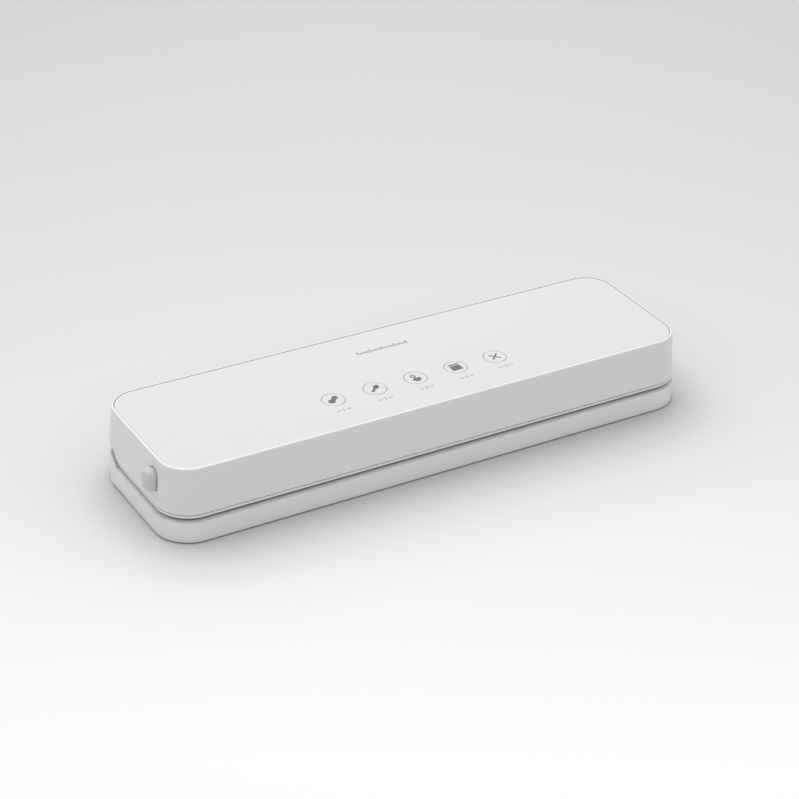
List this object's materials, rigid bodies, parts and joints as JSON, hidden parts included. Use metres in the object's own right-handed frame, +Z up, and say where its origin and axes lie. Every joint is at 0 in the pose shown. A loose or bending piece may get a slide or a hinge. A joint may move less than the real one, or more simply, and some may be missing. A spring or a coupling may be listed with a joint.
{
  "type": "vacuum sealer",
  "caption": "Slim white bag sealer with a hinged lid, round keys, side latches, a vacuum channel with gaskets, a heater bar, a pump and a back mains inlet.",
  "frame": {"origin": "on the table under the middle of the body's bounding box", "axes": "+X along the body towards its right end as seen from the front, -Y the front where the bag goes in, +Z up"},
  "size_m": [0.3838, 0.1076, 0.05],
  "materials": {
    "body_plastic": "fine satin moulding, white",
    "lid_plastic": "fine satin moulding, white",
    "panel_plastic": "smooth satin, white",
    "liner_plastic": "satin moulding, warm white",
    "tray_plastic": "smooth moulding, white",
    "key_plastic": "smooth satin, white",
    "latch_plastic": "satin moulding, white",
    "plunger_plastic": "moulded, black",
    "dark_plastic": "moulded, black",
    "inlet_plastic": "moulded, dark grey",
    "gasket_rubber": "soft closed-cell foam, dark grey",
    "strip_silicone": "silicone, near black",
    "hose_silicone": "silicone, milky",
    "foot_rubber": "matt rubber, grey",
    "wire_rubber": "insulated wire",
    "steel": "plain steel",
    "motor_steel": "rolled steel can",
    "copper": "lacquered copper windings",
    "board": "coated circuit board, green",
    "heater_ceramic": "heat-resistant moulding, tan",
    "tape_fabric": "non-stick coated glass cloth, tan"
  },
  "bodies": {
    "base": {"base_shell": "body_plastic", "base_cover": "body_plastic", "drip_tray": "tray_plastic", "gasket_lower": "gasket_rubber", "press_strip": "strip_silicone", "feet": "foot_rubber", "base_screws": "steel", "hinge_pins": "steel"},
    "lid": {"lid_shell": "lid_plastic", "top_panel": "panel_plastic", "lid_liner": "liner_plastic", "gasket_upper": "gasket_rubber", "heater_bar": "heater_ceramic", "heating_strip": "steel", "sealing_tape": "tape_fabric", "pump_motor": "motor_steel", "pump_head": "dark_plastic", "vacuum_hose": "hose_silicone", "vent_valve": "dark_plastic", "power_board": "board", "board_parts": "dark_plastic", "transformer": "copper", "key_board": "board", "key_switches": "dark_plastic", "inlet_socket": "inlet_plastic", "inlet_pins": "steel", "wiring": "wire_rubber", "lid_screws": "steel"},
    "left_latch": {"latch_left": "latch_plastic"},
    "right_latch": {"latch_right": "latch_plastic"},
    "rotor": {"pump_rotor": "copper"},
    "dry_key": {"key_dry": "key_plastic", "plunger_dry": "plunger_plastic"},
    "moist_key": {"key_moist": "key_plastic", "plunger_moist": "plunger_plastic"},
    "pulse_key": {"key_pulse": "key_plastic", "plunger_pulse": "plunger_plastic"},
    "seal_key": {"key_seal": "key_plastic", "plunger_seal": "plunger_plastic"},
    "stop_key": {"key_stop": "key_plastic", "plunger_stop": "plunger_plastic"}
  },
  "joints": [
    {"name": "lid_hinge", "type": "hinge", "parent": "base", "child": "lid", "pos_m": [0, 0.0485, 0.022], "axis": [-1, 0, 0], "range_deg": [0, 65]},
    {"name": "left_latch_slide", "type": "slide", "parent": "lid", "child": "left_latch", "axis": [1, 0, 0], "range_m": [0, 0.0025]},
    {"name": "right_latch_slide", "type": "slide", "parent": "lid", "child": "right_latch", "axis": [-1, 0, 0], "range_m": [0, 0.0025]},
    {"name": "rotor_spin", "type": "hinge", "parent": "lid", "child": "rotor", "pos_m": [0.138, 0.011, 0.033], "axis": [1, 0, 0], "continuous": true},
    {"name": "dry_key_press", "type": "slide", "parent": "lid", "child": "dry_key", "axis": [0, 0, -1], "range_m": [0, 0.0005], "stiffness_N_per_m": 3000},
    {"name": "moist_key_press", "type": "slide", "parent": "lid", "child": "moist_key", "axis": [0, 0, -1], "range_m": [0, 0.0005], "stiffness_N_per_m": 3000},
    {"name": "pulse_key_press", "type": "slide", "parent": "lid", "child": "pulse_key", "axis": [0, 0, -1], "range_m": [0, 0.0005], "stiffness_N_per_m": 3000},
    {"name": "seal_key_press", "type": "slide", "parent": "lid", "child": "seal_key", "axis": [0, 0, -1], "range_m": [0, 0.0005], "stiffness_N_per_m": 3000},
    {"name": "stop_key_press", "type": "slide", "parent": "lid", "child": "stop_key", "axis": [0, 0, -1], "range_m": [0, 0.0005], "stiffness_N_per_m": 3000}
  ]
}
